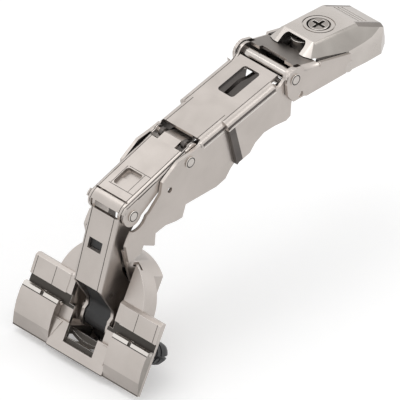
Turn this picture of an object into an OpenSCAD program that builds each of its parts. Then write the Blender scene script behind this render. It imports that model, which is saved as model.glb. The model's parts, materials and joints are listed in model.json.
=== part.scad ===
// Concealed cup hinge with a long folding linkage, shown fully open.
// +Z points from the cabinet side into the cabinet, +Y from the cup to the rear of the arm,
// +X runs along the pins. The origin lies on the seat of the arm, under its side screw.

/* [Sheet metal] */
// Thickness of the folded steel sheet
sheet_t = 1.2; // [0.9:0.1:1.3]
// Running gap between link plates that nest in each other
nest_gap = 0.2; // [0.15:0.05:0.3]
// Radial gap between a pin and the piece that turns on it
pin_gap = 0.05; // [0.03:0.01:0.08]
// Gap between pieces that slide past each other
slide_gap = 0.3; // [0.2:0.05:0.4]

/* [Arm] */
// Half the width over the side plates of the arm
arm_half = 12.6; // [12.2:0.1:13.2]
// Height of the front pin over the seat
seat_drop = 9.6; // [9.2:0.1:10.4]
// Distance of the front pin ahead of the origin
front_reach = 22; // [18:1:26]
// Distance from the front pin to the rear end of the arm
arm_back = 45.6; // [44:0.2:50]
// Distance from the front pin to the pivot of the overlay adjustment
tilt_back = 25.7; // [25:0.1:27]
// Height of the channel's web over the front pin
web_rise = 3.5; // [3.4:0.1:3.8]
// Fall of the channel's upper edge towards the rear, in degrees
seam_fall = 13.6; // [13:0.2:14.2]
// Height of the cover's front edge over the front pin
cover_rise = 5.15; // [5:0.05:5.8]
// Radius of the eyes round the front pin
ear_r = 3.9; // [3.6:0.1:4.2]
// Distance from the front pin to the side screw
side_screw_back = 23.6; // [22.6:0.2:24.6]
// Radius of the side screw's head
side_head_r = 3.9; // [3.4:0.1:4.2]
// Distance from the front pin to the depth cam
depth_cam_back = 15.6; // [15.2:0.1:16]
// Radius of the depth cam
depth_cam_r = 3.6; // [3.2:0.1:3.8]

/* [Linkage] */
// Distance from the front pin to the middle pin
outer_len = 47.4; // [46:0.2:49]
// Fall of the outer link below the horizontal, in degrees
outer_fall = 14; // [12:0.5:16]
// Distance from the middle pin to the knuckle pin
inner_len = 26.7; // [26:0.1:27.6]
// Fall of the inner link below the horizontal, in degrees
inner_fall = 21.6; // [20.6:0.2:22.6]
// Distance from the knuckle pin to the rear axle of the cup
cup_link_len = 43.5; // [43:0.1:44.4]
// Lean of the cup link from the upright, in degrees
cup_link_lean = 7.1; // [6.5:0.1:7.7]
// Radius of the front pin
front_pin_r = 2.1; // [1.9:0.05:2.2]
// Radius of the pins of the links
link_pin_r = 1.6; // [1.4:0.05:1.7]
// Radius of a riveted pin head
head_r = 2.1; // [2:0.05:2.4]
// Thickness of a riveted pin head
head_t = 0.5; // [0.4:0.05:0.7]
// Thickness of the washers beside the cup link
washer_t = 0.65; // [0.6:0.05:0.8]
// Step of the outer link's plates at their offset
joggle = 1.4; // [1.2:0.05:1.5]
// Step of the outer link's plates at the neck that enters the cup
neck_joggle = 1.3; // [1.2:0.05:1.4]

/* [Cup] */
// Lean of the door from the upright at full opening, in degrees
door_lean = 28; // [27:0.5:29]
// Radius of the cup
cup_r = 17.5; // [17.3:0.1:17.7]
// Depth of the cup under the door's face
cup_depth = 13; // [12.8:0.1:14]
// Depth of the cup beside its deep middle
side_depth = 8; // [7.5:0.1:9]
// Half the width of the cup's deep middle
deep_half = 11.6; // [11.4:0.1:12]
// Half the width of the mouth between the raised strips
mouth_half = 7.7; // [7.5:0.05:8]
// Distance from the cup's middle to the edge of the door
door_edge = 23; // [22.5:0.1:24]
// Distance of the clamp lever's wings from the middle
wing_in = 12.8; // [12:0.1:13.2]
// Wall of the cup
cup_wall = 1.2; // [1:0.05:1.3]
// Half the width of the cup's flange
flange_half = 29; // [28:0.5:31]
// Thickness of the cup's flange
flange_t = 1; // [0.8:0.05:1.1]
// Distance of the dowels to each side of the cup's middle
dowel_side = 22.5; // [22:0.1:23]
// Distance of the dowels from the cup's middle, away from the door's edge
dowel_off = 9.5; // [9:0.1:10]
// Radius of the dowels
dowel_r = 4; // [3.8:0.05:4.2]
// Length of the dowels in the door
dowel_len = 11; // [9:0.5:12]

/* [Hidden] */
$fn = 40;

steel = [0.78, 0.75, 0.72];
bright = [0.86, 0.84, 0.82];
dark_steel = [0.5, 0.48, 0.46];
black = [0.13, 0.13, 0.14];

far = 60;
tiny = 0.01;

// Half widths of the link plates, each nested in the one before
outer_half = arm_half - sheet_t - nest_gap;
outer_low_half = outer_half - joggle;
inner_half = outer_low_half - sheet_t - nest_gap;
neck_half = outer_low_half - neck_joggle;
control_half = inner_half - sheet_t - 1.3;
washer_gap = 0.075;
cup_link_half = inner_half - sheet_t - washer_t - 2 * washer_gap;
damper_half = cup_link_half - sheet_t - nest_gap;

// Directions and pivots in the plane of the linkage, from the front pin: [Y, Z]
function ray(a) = [cos(a), sin(a)];
outer_dir = ray(180 + outer_fall);
outer_up = ray(90 + outer_fall);
inner_dir = ray(180 + inner_fall);
inner_up = ray(90 + inner_fall);
cup_link_dir = ray(270 - cup_link_lean);
cup_link_up = ray(180 - cup_link_lean);
door_dir = ray(270 - door_lean);
depth_dir = ray(-door_lean);

middle = outer_len * outer_dir;
knuckle = middle + inner_len * inner_dir;
rear_axle_at = knuckle + cup_link_len * cup_link_dir;
rear_axle_uw = [8, 6];
front_axle_uw = [-11.2, 6];
cup_mid = rear_axle_at - rear_axle_uw[0] * door_dir - rear_axle_uw[1] * depth_dir;
front_axle_at = in_cup(front_axle_uw[0], front_axle_uw[1]);
tie = middle + 4.2 * ray(50);
control = [2.6, -7];
control_slot = 4.1;

// A point of the cup's plane, along the door and into it
function in_cup(u, w) = cup_mid + u * door_dir + w * depth_dir;
// A point of the outer link: a part of the way to the middle pin, and a height over that line
function on_outer(part, up) = part * middle + up * outer_up;
// A point past the middle pin, along the outer link and over its line
function past_middle(s, up) = middle + s * outer_dir + up * outer_up;
// A point of the inner link, along it from the middle pin and over its line
function on_inner(part, up) = middle + part * (knuckle - middle) + up * inner_up;
// A point of the cup link, along it from the knuckle and over its line
function on_cup_link(part, up) = knuckle + part * (rear_axle_at - knuckle) + up * cup_link_up;

// A flat shape in the linkage's plane, made a plate between two places along the pins
module plate(x0, x1) {
    translate([x0, -front_reach, seat_drop])
        rotate([90, 0, 90])
            linear_extrude(x1 - x0) children();
}

// A pair of plates, one on each side
module pair(x_in, x_out) {
    for (s = [0, 1]) mirror([s, 0, 0]) plate(x_in, x_out) children();
}

// Children placed with the front pin at the origin of the plane
module at_plane(p) {
    translate([0, p[0] - front_reach, p[1] + seat_drop]) children();
}

// A round bar along the pins, through a point of the plane
module bar(p, r, half) {
    at_plane(p) rotate([0, 90, 0]) cylinder(r = r, h = 2 * half, center = true);
}

// The cup's own frame: +Y along the door, +Z into it
module on_cup() {
    at_plane(cup_mid) rotate([270 - door_lean, 0, 0]) children();
}

// A riveted pin with a shank and a flat head on each end
module riveted_pin(p, r, half) {
    bar(p, r, half + tiny);
    for (s = [-1, 1])
        translate([s * (half + head_t / 2), 0, 0]) bar(p, head_r, head_t / 2);
}

// A disc and its hole in the plane
module disc(p, r) {
    translate(p) circle(r = r);
}

// Fold radius along the upper outer edges of a channel whose top runs from a to b
module fold(a, b, half, r) {
    run = norm(b - a);
    slope = atan2(b[1] - a[1], b[0] - a[0]);
    for (s = [0, 1]) mirror([s, 0, 0])
        at_plane(a) rotate([slope, 0, 0]) translate([half - r, -1, -r])
            difference() {
                cube([r + 1, run + 2, r + 1]);
                translate([0, -1, 0]) rotate([-90, 0, 0]) cylinder(r = r, h = run + 4);
            }
}

/* Arm */

// Height of the seam between the channel and the cover at a distance behind the front pin
function seam(back) = web_rise - (back - 1.8) * tan(seam_fall);

channel_floor = 0.6 - seat_drop;

// Outline of the arm's side plates below the seam of the cover
module arm_side_outline() {
    back = tilt_back + 0.3;
    disc([0, 0], ear_r);
    polygon([
        [-ear_r, 0], [-3.4, -5], [-0.8, -8.4], [4, -8.4], [5.5, channel_floor], [back, channel_floor],
        [back, seam(back)], [1.8, web_rise]
    ]);
}

module arm_channel() {
    web_from = 4;
    web_to = 11;
    tongue_out = outer_half - sheet_t - slide_gap;
    lip = 3.2;
    color(steel) difference() {
        union() {
            pair(arm_half - sheet_t, arm_half)
                difference() {
                    arm_side_outline();
                    disc([0, 0], link_pin_r + pin_gap);
                    disc(control, 1 + pin_gap);
                    disc([tilt_back, -7.5], 2.25);
                }
            // The web behind the front pin, folded down to the sides
            plate(-arm_half + sheet_t / 2, arm_half - sheet_t / 2) channel_web(web_from, web_to);
            // Its front edge, with tongues beside the opening behind the pin
            plate(-tongue_out, tongue_out) channel_web(3.2, web_from + 0.5);
            pair(5.8, tongue_out) channel_web(1.8, web_from + 0.5);
            // Lips folded in along the seat
            pair(arm_half - sheet_t - lip, arm_half - sheet_t + tiny)
                translate([7, channel_floor]) square([tilt_back - 9.6, sheet_t]);
        }
        // The fold along the web
        intersection() {
            fold([web_from, seam(web_from)], [web_to, seam(web_to)], arm_half, 2.2);
            plate(-far, far) translate([web_from, -far]) square(2 * far);
        }
    }
}

// Side view of a piece of the channel's web between two distances behind the front pin
module channel_web(from, to) {
    under = 0.03;
    polygon([
        [from, seam(from) - under], [to, seam(to) - under], [to, seam(to) - under - sheet_t],
        [from, seam(from) - under - sheet_t]
    ]);
}

// A slice of the cover at a distance behind the front pin
module cover_slice(back, top_half, top, bevel_half, bevel, low_half, low) {
    at_plane([back, 0]) rotate([90, 0, 0]) linear_extrude(tiny) polygon([
        [-low_half, -seat_drop], [low_half, -seat_drop], [low_half, low], [bevel_half, bevel], [top_half, top],
        [-top_half, top], [-bevel_half, bevel], [-low_half, low]
    ]);
}

hollow_top = cover_rise - 3.55;

module cover_form() {
    side = arm_half - 0.3;
    hull() {
        cover_slice(9.2, 6.9, 1.75, 7.9, 1.35, 10.2, 0.4);
        cover_slice(14.2, 6.9, cover_rise, 7.9, cover_rise - 0.9, 11, -1);
        cover_slice(33.5, 7.4, cover_rise - 1.42, 8.5, cover_rise - 2.3, side, -4.5);
        cover_slice(arm_back - 5, 7.4, cover_rise - 4.98, 8.6, cover_rise - 5.9, side, -6);
        cover_slice(arm_back, 7.2, cover_rise - 7.4, 8.4, cover_rise - 8.4, 9, -7);
    }
}

// Room in the casting behind the channel
module cover_hollow() {
    side = arm_half - 2.8;
    hull() {
        cover_slice(tilt_back - 1, 7.6, hollow_top, 8, hollow_top - 0.3, side, -2.9);
        cover_slice(33.4, 7.6, hollow_top, 8, hollow_top - 0.3, side, -2.9);
        cover_slice(arm_back - 5, 7.2, cover_rise - 7.05, 7.6, cover_rise - 7.35, side, -3.4);
        cover_slice(arm_back - 1.6, 6.6, cover_rise - 8.65, 7, cover_rise - 8.9, 7.4, -4.2);
    }
}

// An opening with a flat sill and round upper corners, across and up
module arch(half, rise, r) {
    translate([-half, -1]) square([2 * half, rise - r + 1]);
    translate([r - half, -1]) square([2 * half - 2 * r, rise + 1]);
    for (s = [-1, 1]) translate([s * (half - r), rise - r]) circle(r = r);
}

module arm_body() {
    gap = slide_gap - 0.1;
    back = tilt_back + 0.6;
    color(steel) difference() {
        cover_form();
        // The seam over the channel
        plate(-far, far) polygon([
            [-far, -far], [back, -far], [back, seam(back) + gap], [-far, seam(-far) + gap]
        ]);
        // Hollow of the casting, open to the seat
        cover_hollow();
        translate([0, 0, -seat_drop]) cover_hollow();
        // Arched mouth in the front slope, in front of the depth cam
        at_plane([depth_cam_back, 0]) rotate([90, 0, 0]) linear_extrude(depth_cam_back)
            arch(4.9, cover_rise - 0.45, 1.5);
        // Seat of the depth cam
        at_plane([depth_cam_back, 0]) translate([0, 0, -3]) cylinder(r = depth_cam_r + pin_gap, h = cover_rise + 2);
        // Bore and seat of the side screw
        at_plane([side_screw_back, 0]) cylinder(r = 2.4 + pin_gap, h = 40, center = true);
        at_plane([side_screw_back, cover_rise - 1.2]) rotate([-4.2, 0, 0]) {
            translate([0, 0, -1.4]) cylinder(r = side_head_r + 0.2, h = 6.4);
            translate([0, 0, 0.15]) difference() {
                cylinder(r = side_head_r + 1.7, h = 6);
                translate([0, 0, -1]) cylinder(r = side_head_r + 1.3, h = 8);
            }
        }
        // Grip grooves across the rear slope
        for (i = [0:2])
            bar([arm_back - 8.8 + i * 1.8, cover_rise - 2.95 - i * 0.9], 0.45, 5.8);
        // Blind bores of the release lever's pin
        bar(release_at, 1.2 + pin_gap, arm_half - 2.25);
        // Window for the button of the release lever
        at_plane([arm_back - 4, -8.4]) translate([-4.7, 0, 0]) cube([9.4, 8, 4.8]);
    }
    // Bosses that the channel tilts on
    color(steel) for (s = [0, 1]) mirror([s, 0, 0])
        intersection() {
            bar([tilt_back, -7.5], 2.1, arm_half - 0.3);
            plate(arm_half - 2.4, far) translate([tilt_back - 3, -far]) square([8, 2 * far]);
        }
}

module side_screw() {
    top = cover_rise - 1.35;
    color(dark_steel) at_plane([side_screw_back, 0]) {
        translate([0, 0, -seat_drop + 1.8]) cylinder(r = 2.4, h = top + seat_drop - 2.6);
        translate([0, 0, top - 0.9]) difference() {
            cylinder(r1 = side_head_r, r2 = side_head_r - 0.5, h = 1.7);
            for (a = [0, 90]) rotate([0, 0, a]) translate([-2.6, -0.55, 0.6]) cube([5.2, 1.1, 3]);
        }
    }
}

module depth_cam() {
    top = cover_rise - 1.55;
    color(dark_steel) at_plane([depth_cam_back, 0]) difference() {
        translate([0, 0, -0.8]) cylinder(r = depth_cam_r, h = top + 0.8);
        for (a = [0, 90]) rotate([0, 0, a]) translate([-2.2, -0.5, top - 1.2]) cube([4.4, 1, 3]);
    }
}

release_at = [38, -4.4];

module release_lever() {
    color(steel) difference() {
        plate(-4.4, 4.4) polygon([
            [35.4, -3], [41, -3], [arm_back - 0.3, -5], [arm_back - 0.3, -7.8], [42, -7.8], [39.4, -6.2],
            [37.4, -8.6], [35.2, -8.6], [36, -7.4], [35.4, -6]
        ]);
        plate(-3.2, 3.2) polygon([[35.3, -2], [41, -2], [44.2, -5.8], [41.5, -6.4], [36.8, -5.2], [35.3, -5.2]]);
        bar(release_at, 1.2 + pin_gap, far);
    }
}

module release_pin() {
    color(bright) bar(release_at, 1.2, arm_half - 2.3);
}

module release_spring() {
    leaf = 0.45;
    color(bright) plate(-2.6, 2.6) polygon([
        [27, hollow_top], [31.5, hollow_top], [41.5, -2.6], [41.5, -2.6 - leaf], [31.3, hollow_top - leaf],
        [27, hollow_top - leaf]
    ]);
}

/* Pins of the arm */

module front_pin() {
    color(bright) {
        bar([0, 0], front_pin_r, arm_half - sheet_t - nest_gap / 2);
        bar([0, 0], link_pin_r, arm_half + tiny);
        for (s = [-1, 1]) translate([s * (arm_half + 0.2), 0, 0]) bar([0, 0], head_r, 0.2);
    }
}

module control_pin() {
    color(bright) bar(control, 1, arm_half - 0.5);
}

/* Linkage */

module control_link() {
    // The slot lies along the link and lets the fixed pin slide
    run = control - tie;
    angle = atan2(run[1], run[0]);
    width = 1.5;
    color(steel) pair(control_half - width, control_half)
        difference() {
            union() {
                disc(tie, 1.7);
                polygon([
                    tie + [-1.1, -1.3], tie + [1, 1.35], tie + [3, -1.2], on_outer(0.45, -3.4), [-8, -5.1],
                    [-4, -5.5], [3.4, -4.95], [8.4, -5], [9.4, -7], [8.4, -9.2], [-3, -9], on_outer(0.45, -7.2),
                    tie + [4, -4.6]
                ]);
            }
            disc(tie, 0.9 + pin_gap);
            translate(control) rotate(angle) translate([0, -0.25]) {
                for (x = [0, control_slot]) translate([x, 0]) circle(r = 1.4);
                translate([0, -1.4]) square([control_slot, 2.8]);
            }
        }
    // Bridge between the two plates
    color(steel) plate(-control_half + width - tiny, control_half - width + tiny) polygon([
        on_outer(0.62, -6.1), on_outer(0.62, -7.3), on_outer(0.3, -6.8), on_outer(0.3, -5.6)
    ]);
}

// Height of the outer link's upper edge over its line, a part of the way to the middle pin
function outer_top(part) = 2.86 + 1.097 * part;

// Full side view of the outer link
module outer_outline() {
    difference() {
        union() {
            disc([0, 0], ear_r - 0.3);
            polygon([
                [0, ear_r - 0.3], on_outer(0.075, 1.6), on_outer(0.12, 0.6), on_outer(0.15, 0.9),
                on_outer(0.155, outer_top(0.155)), on_outer(0.857, outer_top(0.857)), on_outer(0.88, 2.9),
                on_outer(0.962, 3.03), past_middle(4.7, 3.73),
                past_middle(12.7, 1), past_middle(14.5, -2.8), knuckle + [6.5, -1.2], knuckle + [-1.9, -5],
                knuckle + [-3.4, -7.3], knuckle + [-4.6, -9.6], in_cup(-16.6, -4.7), in_cup(-21.9, 2.2),
                past_middle(21.8, -20.4), past_middle(20.3, -16.1), past_middle(15.5, -16.4), past_middle(11.2, -18.2),
                past_middle(8.3, -18.9), past_middle(5.7, -15), on_outer(0.83, -18.4), on_outer(0.74, -18.3),
                on_outer(0.672, -15.9), on_outer(0.612, -14.8), on_outer(0.505, -14.8), on_outer(0.44, -12.7),
                on_outer(0.345, -11.7), on_outer(0.242, -12.7), on_outer(0.135, -14.5), on_outer(0.09, -14),
                on_outer(0.06, -9.6), [0.6, -5.2], [3.4, -1.8]
            ]);
        }
        disc(knuckle, 5.3);
    }
}

// The neck that goes over the cup's rim to the front axle
module neck_outline() {
    disc(front_axle_at, 2.5);
    polygon([
        in_cup(-21.5, -0.5), in_cup(-20.2, -8), in_cup(-16.6, -4.7), in_cup(-12.6, -1.25), in_cup(-9.2, 1.9),
        front_axle_at + 2.5 * ray(20), front_axle_at + 2.5 * ray(190), in_cup(-14.4, 2.2), in_cup(-15.1, -0.5)
    ]);
}

// Where the outer link's plates step in, along it from the front pin
step_at = 0.6 * outer_len;
step_run = 1.6;

// The part of the plane before a place along the outer link, or between two places
module before(place) {
    rotate(180 + outer_fall) translate([place - 2 * far, -far]) square(2 * far);
}

module between(near, beyond) {
    rotate(180 + outer_fall) translate([near, -far]) square([beyond - near, 2 * far]);
}

// The outer link's web in side view
module outer_web() {
    under = 0.03;
    near = 0.076;
    beyond = 0.85;
    polygon([
        on_outer(near, outer_top(near) - under), on_outer(beyond, outer_top(beyond) - under),
        on_outer(beyond, outer_top(beyond) - under - sheet_t), on_outer(near, outer_top(near) - under - sheet_t)
    ]);
}

module outer_link() {
    web_front = on_outer(0.155, outer_top(0.155));
    web_back = on_outer(0.857, outer_top(0.857));
    wide_from = 0.157 * outer_len;
    color(steel) difference() {
        union() {
            difference() {
                // The wide plates, the step, the narrow plates and the web
                union() {
                    pair(outer_half - sheet_t, outer_half) intersection() {
                        outer_outline();
                        before(step_at);
                    }
                    pair(outer_low_half - sheet_t, outer_half) intersection() {
                        outer_outline();
                        between(step_at, step_at + step_run);
                    }
                    pair(outer_low_half - sheet_t, outer_low_half) intersection() {
                        outer_outline();
                        between(step_at + step_run, 2 * far);
                    }
                    plate(-outer_half + 2.6, outer_half - 2.6) intersection() {
                        outer_web();
                        before(wide_from);
                    }
                    plate(-outer_half + sheet_t / 2, outer_half - sheet_t / 2) intersection() {
                        outer_web();
                        between(wide_from, step_at + step_run);
                    }
                    plate(-outer_low_half + sheet_t / 2, outer_low_half - sheet_t / 2) intersection() {
                        outer_web();
                        between(step_at + step_run, 2 * far);
                    }
                }
                // Folds along the web
                intersection() {
                    fold(web_back, web_front, outer_half, 2.4);
                    plate(-far, far) between(0.155 * outer_len, step_at + step_run);
                }
                intersection() {
                    fold(web_back, web_front, outer_low_half, 2.4);
                    plate(-far, far) between(step_at + step_run, 2 * far);
                }
                // The door's edge stays free beside the cup
                plate(-far, far) polygon([
                    in_cup(-door_edge, -0.4), in_cup(door_edge, -0.4), in_cup(door_edge, far), in_cup(-door_edge, far)
                ]);
                // Rounded window in the web
                at_plane(on_outer(0.282, 0)) rotate([outer_fall - 1.3, 0, 0]) window_cut(3.7, 13.4);
            }
            // The necks, stepped in to pass the cup's rim
            pair(neck_half - sheet_t, neck_half) neck_outline();
            pair(neck_half - sheet_t, outer_low_half) intersection() {
                neck_outline();
                outer_outline();
                polygon([in_cup(-24, -12), in_cup(-17.6, -12), in_cup(-17.6, 4), in_cup(-24, 4)]);
            }
        }
        bar([0, 0], front_pin_r + pin_gap, far);
        bar(middle, link_pin_r + pin_gap, far);
        bar(front_axle_at, 1.5 + pin_gap, far);
        // Small holes in the side plates
        bar(middle + [-9.2, -6.6], 1, far);
    }
}

// A slot with round corners through a web, across and along it
module window_cut(half, run) {
    translate([0, 0, -4]) linear_extrude(10) rounded_slot(half, run);
}

module rounded_slot(half, run) {
    r = 1.2;
    square([2 * half, run - 2 * r], center = true);
    square([2 * half - 2 * r, run], center = true);
    for (sx = [-1, 1]) for (sy = [-1, 1])
        translate([sx * (half - r), sy * (run / 2 - r)]) circle(r = r);
}

module middle_pin() {
    color(bright) riveted_pin(middle, link_pin_r, outer_low_half);
}

module inner_outline() {
    disc(middle, 3.4);
    disc(knuckle, 4);
    disc(tie, 1.9);
    polygon([
        on_inner(-0.1, 3.45), on_inner(0.965, 5.35), knuckle + 5.3 * ray(112), knuckle + 5.3 * ray(124),
        knuckle + 4 * ray(140), knuckle + 4 * ray(215), knuckle + 4 * ray(270), on_inner(0.5, -0.6),
        middle + 3.4 * ray(-90), middle + 3.4 * ray(-20), tie + 1.9 * ray(-10), tie + [1, 1.2]
    ]);
}

module inner_link() {
    color(steel) difference() {
        union() {
            pair(inner_half - sheet_t, inner_half) inner_outline();
            // Web with the tongue that reaches under the outer link
            plate(-inner_half + tiny, inner_half - tiny) polygon([
                on_inner(0, 3.62), on_inner(0.965, 5.35), on_inner(0.965, 5.35 - sheet_t), on_inner(0, 3.62 - sheet_t)
            ]);
            plate(-3.85, 3.85) polygon([
                on_inner(0.02, 3.6), on_inner(-0.13, 3.42), on_inner(-0.225, 1.5), on_inner(-0.3, -0.06),
                on_inner(-0.3, -0.06) - [0.6, 1], on_inner(-0.2, 0.3), on_inner(-0.1, 2.2), on_inner(0.02, 2.4)
            ]);
            // Drawn recess in the web
            at_plane(on_inner(0.68, 4.85)) rotate([inner_fall - 3.7, 0, 0]) translate([0, 0, -2]) linear_extrude(1.6)
                rounded_slot(4.3, 8.9);
            // The web's end rolled round the knuckle
            plate(-inner_half + tiny, inner_half - tiny) difference() {
                disc(knuckle, 5.3);
                disc(knuckle, 5.3 - sheet_t);
                polygon([
                    knuckle, knuckle + 20 * ray(152), knuckle + 40 * ray(220), knuckle + 40 * ray(300),
                    knuckle + 30 * ray(20), knuckle + 20 * ray(108)
                ]);
            }
        }
        fold(knuckle + 5.3 * ray(112), on_inner(0, 3.62), inner_half, 1.8);
        bar(middle, link_pin_r + pin_gap, far);
        bar(knuckle, link_pin_r + pin_gap, far);
        bar(tie, 0.9 + pin_gap, far);
        at_plane(on_inner(0.68, 4.85)) rotate([inner_fall - 3.7, 0, 0]) translate([0, 0, -1.3]) linear_extrude(10)
            rounded_slot(3.6, 7.5);
    }
}

module tie_pin() {
    color(bright) bar(tie, 0.9, inner_half);
}

module knuckle_pin() {
    color(bright) riveted_pin(knuckle, link_pin_r, inner_half);
}

module knuckle_washers() {
    color(bright) for (s = [0, 1]) mirror([s, 0, 0])
        plate(cup_link_half + washer_gap, cup_link_half + washer_gap + washer_t) difference() {
            disc(knuckle, 3.2);
            disc(knuckle, link_pin_r + pin_gap);
        }
}

// Front edge of the cup link, from the knuckle down to the axle, moved in by a margin
function cup_link_front(m) = [
    on_cup_link(0.02, 5.1 - m), on_cup_link(0.61, 10 - m), on_cup_link(0.84, 2.5 - m), on_cup_link(0.895, 2.5 - m),
    on_cup_link(0.925, 3.9 - m), on_cup_link(0.99, 4.3 - m)
];

module cup_link_outline(m) {
    disc(rear_axle_at, 4.6 - m);
    disc(knuckle, 4 - m);
    polygon(concat(cup_link_front(m), [
        on_cup_link(1.03, 4.2 - m), on_cup_link(1.06, -3.4 + m), on_cup_link(0.84, -6.4 + m), on_cup_link(0.74, -6.4 + m),
        on_cup_link(0.6, -3 + m), on_cup_link(0.5, 0.4 + m), on_cup_link(0.3, 1.4 + m), on_cup_link(0.12, -3.2 + m),
        knuckle + (4 - m) * ray(-60)
    ]));
}

module cup_link() {
    color(steel) difference() {
        union() {
            pair(cup_link_half - sheet_t, cup_link_half) cup_link_outline(0);
            plate(-cup_link_half + tiny, cup_link_half - tiny) polygon([
                on_cup_link(0.02, 5.1), on_cup_link(0.61, 10), on_cup_link(0.61, 10 - sheet_t), on_cup_link(0.02, 5.1 - sheet_t)
            ]);
        }
        fold(on_cup_link(0.61, 10), on_cup_link(0.02, 5.1), cup_link_half, 1.4);
        bar(knuckle, link_pin_r + pin_gap, far);
        bar(rear_axle_at, 1.5 + pin_gap, far);
        bar(on_cup_link(0.68, 4.2), 0.8 + pin_gap, far);
        // Square window over the damper
        at_plane(on_cup_link(0.29, 7.4)) rotate([90 - cup_link_lean + 11, 0, 0]) translate([-0.3, 0, 0])
            cube([6, 3.6, 8], center = true);
    }
}

piston_up = 3.6;

module damper_housing() {
    color(black) difference() {
        plate(-damper_half, damper_half) union() {
            polygon([
                on_cup_link(0.2, 5.2), on_cup_link(0.59, 8.4), on_cup_link(0.825, 2), on_cup_link(0.9, 2.1),
                on_cup_link(0.93, 3.5), on_cup_link(0.985, 3.8), on_cup_link(1.02, 3.4), on_cup_link(1.05, -2.6),
                on_cup_link(0.84, -5.6), on_cup_link(0.76, -5.6), on_cup_link(0.62, -2.4), on_cup_link(0.5, 1.2), on_cup_link(0.2, 2.6)
            ]);
            disc(rear_axle_at, 3.6);
        }
        bar(rear_axle_at, 1.5 + pin_gap, far);
        bar(on_cup_link(0.68, 4.2), 0.8 + pin_gap, far);
        // Bore of the piston, open at the knuckle end
        at_plane(on_cup_link(0.18, piston_up)) rotate([180 - cup_link_lean, 0, 0]) cylinder(r = 1 + pin_gap, h = 13);
    }
}

module damper_piston() {
    color(bright) at_plane(on_cup_link(0.15, piston_up)) rotate([180 - cup_link_lean, 0, 0]) cylinder(r = 1, h = 9);
}

module damper_pin() {
    color(bright) bar(on_cup_link(0.68, 4.2), 0.8, cup_link_half);
}

module rear_axle() {
    color(bright) bar(rear_axle_at, 1.5, cup_link_half);
}

/* Cup */

module cup() {
    inner = cup_r - cup_wall;
    notch_in = neck_half - sheet_t - slide_gap;
    notch_out = outer_low_half + slide_gap;
    color(steel) on_cup() difference() {
        union() {
            difference() {
                union() {
                    cylinder(r = cup_r, h = side_depth);
                    intersection() {
                        cylinder(r = cup_r, h = cup_depth);
                        translate([-deep_half, -far, 0]) cube([2 * deep_half, 2 * far, cup_depth]);
                    }
                    translate([0, 0, -flange_t]) cylinder(r = cup_r + 1.8, h = flange_t);
                    // Flange under the clamp lever
                    translate([-flange_half, -3.5, -flange_t]) cube([2 * flange_half, 26, flange_t]);
                    // Raised strips beside the mouth
                    for (s = [0, 1]) mirror([s, 0, 0]) strip();
                }
                // Hollow under the face, deeper in the middle
                translate([0, 0, 0.2]) cylinder(r = inner, h = side_depth - cup_wall - 0.2);
                intersection() {
                    translate([0, 0, 0.2]) cylinder(r = inner, h = cup_depth - cup_wall - 0.2);
                    translate([-deep_half + cup_wall, -far, 0]) cube([2 * (deep_half - cup_wall), 2 * far, far]);
                }
                // Mouth through the face, wider where the outer link goes in
                intersection() {
                    translate([0, 0, -5]) cylinder(r = inner, h = 6);
                    union() {
                        translate([-mouth_half, -far, -5]) cube([2 * mouth_half, far + 13.6, 6]);
                        translate([-notch_out, -far, -5]) cube([2 * notch_out, far + 6.7, 6]);
                    }
                }
            }
            // Ledge inside the mouth, under the clamp lever
            intersection() {
                translate([-mouth_half - 1, 14.2, 1.8]) cube([2 * mouth_half + 2, 4, 1]);
                cylinder(r = inner + 0.5, h = 4);
            }
            // Bosses of the front axle, grown from the wall
            intersection() {
                for (s = [-1, 1]) translate([s * (outer_low_half + 6), front_axle_uw[0], front_axle_uw[1]])
                    rotate([0, 90, 0]) cylinder(r = 3, h = 2 * (6 + outer_low_half - neck_half - slide_gap), center = true);
                translate([0, 0, 1]) cylinder(r = cup_r - 0.1, h = side_depth - 1.1);
            }
            // Lugs beside the cup link
            for (s = [0, 1]) mirror([s, 0, 0])
                translate([cup_link_half + slide_gap, rear_axle_uw[0] - 3, rear_axle_uw[1] - 3])
                    cube([1.5, 6, cup_depth - rear_axle_uw[1] + 2.5]);
        }
        // Bore of the front axle
        translate([0, front_axle_uw[0], front_axle_uw[1]]) rotate([0, 90, 0])
            cylinder(r = 1.5 + pin_gap, h = 2 * (neck_half + 3), center = true);
        // Bores of the rear axle's lugs
        translate([0, rear_axle_uw[0], rear_axle_uw[1]]) rotate([0, 90, 0])
            cylinder(r = 1.5 + pin_gap, h = 2 * (cup_link_half + 3), center = true);
        // Slots in the rim for the necks of the outer link
        for (s = [0, 1]) mirror([s, 0, 0])
            translate([notch_in, -far + front_axle_uw[0], -5]) cube([notch_out - notch_in, far, 5 + 3.6]);
        // Room for the cup link when the door is closed
        translate([-cup_link_half - slide_gap, rear_axle_uw[0], -5])
            cube([2 * (cup_link_half + slide_gap), 17.2 - rear_axle_uw[0], 5 + 1.6]);
        // Seats of the dowels, from the door's side
        for (s = [-1, 1]) translate([s * dowel_side, dowel_off, 0]) {
            cylinder(r = 2.6, h = 10, center = true);
            translate([0, 0, -dowel_seat]) cylinder(r = dowel_r + 0.3, h = 1);
        }
    }
}

// A raised strip of the flange with a bevelled upper edge
module strip() {
    step_out = mouth_half + 4.8;
    translate([mouth_half, 0, 0]) rotate([90, 0, 90]) linear_extrude(step_out - mouth_half + tiny) polygon([
        [-3.5, -flange_t + tiny], [-3.5, -1.3], [-2.6, -2.05], [3.8, -1.75], [3.8, -flange_t + tiny]
    ]);
    translate([step_out, 0, 0]) rotate([90, 0, 90]) linear_extrude(flange_half - step_out) polygon([
        [-3.5, -flange_t + tiny], [-3.5, -1.4], [-2.5, -2.4], [4, -2], [4, -flange_t + tiny]
    ]);
}

module front_axle() {
    color(bright) bar(front_axle_at, 1.5, neck_half + 2.6);
}

clamp_uw = [7.7, -2.2];
dowel_seat = 0.2;

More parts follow.
